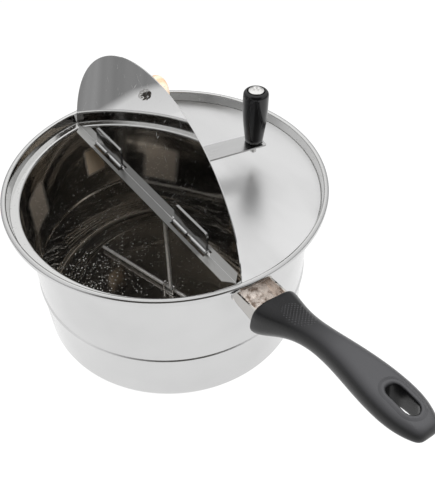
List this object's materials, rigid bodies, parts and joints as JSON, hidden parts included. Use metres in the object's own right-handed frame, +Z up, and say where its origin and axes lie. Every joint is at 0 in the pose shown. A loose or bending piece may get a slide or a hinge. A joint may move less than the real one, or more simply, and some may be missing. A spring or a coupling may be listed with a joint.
{
  "type": "stovetop popcorn popper",
  "caption": "Spun steel pot with a flat lid, a hinged half that folds up, a crank with an upright grip that turns a stirrer on the pot's floor, and a long moulded plastic handle.",
  "frame": {"origin": "centre of the pot's base, on the surface it stands on", "axes": "+Z up out of the pot, +X towards the long handle, +Y towards the side of the lid that holds the crank"},
  "size_m": [0.4177, 0.266, 0.2429],
  "materials": {
    "pot_steel": "satin polished outside, bright inside",
    "lid_steel": "bright rolled sheet",
    "hinge_steel": "polished",
    "bracket_steel": "polished",
    "arm_steel": "satin",
    "wire_steel": "drawn wire",
    "fastener_steel": "bright plated",
    "handle_plastic": "satin moulded",
    "grip_plastic": "gloss moulded",
    "knob_wood": "turned and waxed"
  },
  "bodies": {
    "pot": {"pot_body": "pot_steel", "handle_bracket": "bracket_steel", "long_handle": "handle_plastic", "handle_bolt": "fastener_steel", "handle_washer": "fastener_steel", "handle_nut": "fastener_steel"},
    "lid": {"lid_plate": "lid_steel", "rear_hinge_pin": "fastener_steel", "front_hinge_pin": "fastener_steel", "shaft_bush": "fastener_steel", "bush_washer": "fastener_steel", "bush_nut": "fastener_steel"},
    "flap": {"lid_flap": "lid_steel", "rear_hinge_leaf": "hinge_steel", "front_hinge_leaf": "hinge_steel", "flap_knob": "knob_wood", "knob_screw": "fastener_steel", "knob_washer": "fastener_steel", "knob_nut": "fastener_steel"},
    "crank": {"crank_shaft": "wire_steel", "crank_arm": "arm_steel", "arm_washer": "fastener_steel", "crank_nut": "fastener_steel", "shaft_collar": "fastener_steel", "collar_screw": "fastener_steel", "grip_spindle": "fastener_steel", "spindle_washer": "fastener_steel", "spindle_nut": "fastener_steel", "stirrer_clip": "fastener_steel", "stirrer_pin": "fastener_steel", "stirrer_rod": "wire_steel"},
    "grip": {"crank_grip": "grip_plastic"}
  },
  "joints": [
    {"name": "lid_lift", "type": "slide", "parent": "pot", "child": "lid", "axis": [0, 0, 1], "range_m": [0, 0.16]},
    {"name": "flap_hinge", "type": "hinge", "parent": "lid", "child": "flap", "pos_m": [0.00129, -0.01946, 0.1356], "axis": [0.9978, 0.0663, 0], "range_deg": [0, 95.5]},
    {"name": "crank_turn", "type": "hinge", "parent": "lid", "child": "crank", "pos_m": [0.00033, -0.00499, 0.155], "axis": [0, 0, 1], "range_deg": [-73, 98]},
    {"name": "grip_spin", "type": "hinge", "parent": "crank", "child": "grip", "pos_m": [0.01312, 0.07763, 0.1577], "axis": [0, 0, 1], "continuous": true}
  ]
}
